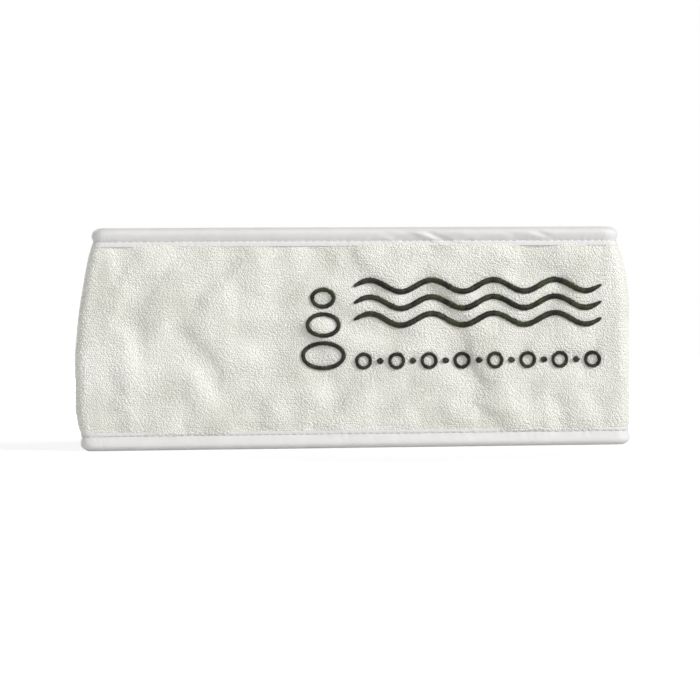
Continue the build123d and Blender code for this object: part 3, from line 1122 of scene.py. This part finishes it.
def strip_pieces():
    """Terry, tapes and seams of the three stretches."""
    for number, (name, (start, end, _, _, owned, runs)) in enumerate(stretches.items()):
        first = start + tape_end_gap if name == "left" else start
        last = end - tape_end_gap if name == "tab" else end
        for part, (run_name, run_start, run_end, run_owned) in enumerate(runs):
            terry = Shape()
            terry_sheet(terry, run_start, run_end)
            seed = 50 + 10 * number + 100 * part
            pile(terry, run_start, run_end, outer_ground, 1, outer_spacing, outer_sides, seed, outer_cover)
            pile(terry, run_start, run_end, inner_ground, -1, inner_spacing, inner_sides, seed + 5)
            nodes = [f"terry_{body}" for body in run_owned]
            attach(terry.piece(f"towelling_{run_name}", terry_cotton), name, nodes)
        for edge in ("upper", "lower"):
            binding, stitches = Shape(), Shape()
            tape(binding, first, last, edge == "upper", name != "left")
            seam_start = start + end_tape if name == "left" else start
            seam_end = end - end_tape if name == "tab" else end
            seam(stitches, seam_start, seam_end, edge == "upper")
            nodes = [f"{edge}_binding_{body}" for body in owned]
            attach(binding.piece(f"{edge}_tape_{name}", tape_cloth), name, nodes)
            nodes = [f"{edge}_seam_thread_{body}" for body in owned]
            attach(stitches.piece(f"{edge}_stitches_{name}", white_thread), name, nodes)


def end_pieces():
    """Tape and stitches over the strip's two free ends."""
    for name, edge, inward, body in (("inner_end", 0.0, 1, "left_arm"), ("tab_end", strip_end, -1, "tab")):
        tape_shape, stitches = Shape(), Shape()
        end_tape_piece(tape_shape, edge, inward)
        seam_along = edge + inward * (end_tape - end_flange + 0.25)
        for out in (valley_out + 0.5, inner_seam_out - 0.1):
            stitch_row(stitches, (seam_along, 5.0), (seam_along, band_height - 5.0), out)
        piece = tape_shape.piece(f"{name}_tape", tape_cloth)
        fix_to(piece, body, f"{name}_binding")
        piece = stitches.piece(f"{name}_stitches", white_thread)
        fix_to(piece, body, f"{name}_seam_thread")


# ---- stage, light and camera

def lit_for_camera(tree, seen, otherwise):
    """A value that differs between what the camera sees and what lights the object."""
    rays = tree.nodes.new("ShaderNodeLightPath")
    choice = tree.nodes.new("ShaderNodeMapRange")
    set_inputs(choice, To_Min=otherwise, To_Max=seen)
    tree.links.new(rays.outputs["Is Camera Ray"], choice.inputs["Value"])
    return choice.outputs["Result"]


def stage():
    """A wide pale floor that meets a white surround."""
    bpy.ops.mesh.primitive_circle_add(vertices=96, radius=8.0, fill_type="NGON", location=(0, 0, -0.0002))
    floor = bpy.context.object
    floor.name = "floor"
    material, surface, add, join = node_material("pale_floor")
    set_inputs(surface, Base_Color=(0.75, 0.75, 0.75, 1), Roughness=0.95, Specular_IOR_Level=0.0)
    set_inputs(surface, Emission_Color=(1, 1, 1, 1))
    place_node = add("ShaderNodeNewGeometry")
    away = add("ShaderNodeVectorMath", [(0, place_node.outputs["Position"])], operation="LENGTH")
    glow = add("ShaderNodeMapRange", [("Value", away.outputs["Value"])])
    set_inputs(glow, From_Min=0.13, From_Max=0.6, To_Min=0.48, To_Max=0.85)
    seen = add("ShaderNodeMath", operation="MULTIPLY")
    join(glow.outputs["Result"], seen.inputs[0])
    join(lit_for_camera(material.node_tree, 1.0, 0.0), seen.inputs[1])
    join(seen.outputs["Value"], surface.inputs["Emission Strength"])
    floor.data.materials.append(material)
    world = bpy.data.worlds.new("surround")
    world.use_nodes = True
    bpy.context.scene.world = world
    background = world.node_tree.nodes["Background"]
    set_inputs(background, Color=(1, 1, 1, 1))
    strength = lit_for_camera(world.node_tree, 1.0, 0.26)
    world.node_tree.links.new(strength, background.inputs["Strength"])


def light(name, location, target, size, power):
    """A round soft lamp that the camera doesn't see."""
    data = bpy.data.lights.new(name, "AREA")
    data.shape = "DISK"
    data.size = size
    data.energy = power
    lamp = bpy.data.objects.new(name, data)
    bpy.context.scene.collection.objects.link(lamp)
    lamp.location = location
    lamp.rotation_euler = (Vector(target) - Vector(location)).to_track_quat("-Z", "Y").to_euler()
    lamp.visible_camera = False


def camera():
    """Nearly square on to the front panel, from a little to its left, and turned by half a degree."""
    azimuth = math.radians(-5.2)
    roll = math.radians(-0.52)
    distance = 1.0
    view_width = 0.3136
    target = Vector((-0.0029, front_y * MM, 0.0437))
    back = Vector((math.sin(azimuth), -math.cos(azimuth), 0))
    data = bpy.data.cameras.new("camera")
    data.sensor_width = 36
    data.lens = data.sensor_width * distance / view_width
    eye = bpy.data.objects.new("camera", data)
    bpy.context.scene.collection.objects.link(eye)
    eye.location = target + back * distance
    turn = (-back).to_track_quat("-Z", "Y").to_matrix().to_4x4()
    eye.rotation_euler = (turn @ Matrix.Rotation(roll, 4, "Z")).to_euler()
    bpy.context.scene.camera = eye


strip_pieces()
end_pieces()
embroidery()
backing()
closure()
stage()
middle = (0, 0, 0.05)
light("key_right", (2.2, -1.65, 1.3), middle, 0.9, 62.0)
light("fill_front", (-0.45, -2.6, 0.9), middle, 2.0, 16.5)
light("back_soft", (-1.3, 2.2, 0.9), middle, 1.6, 46.0)
camera()
bpy.context.scene.view_settings.view_transform = "Standard"
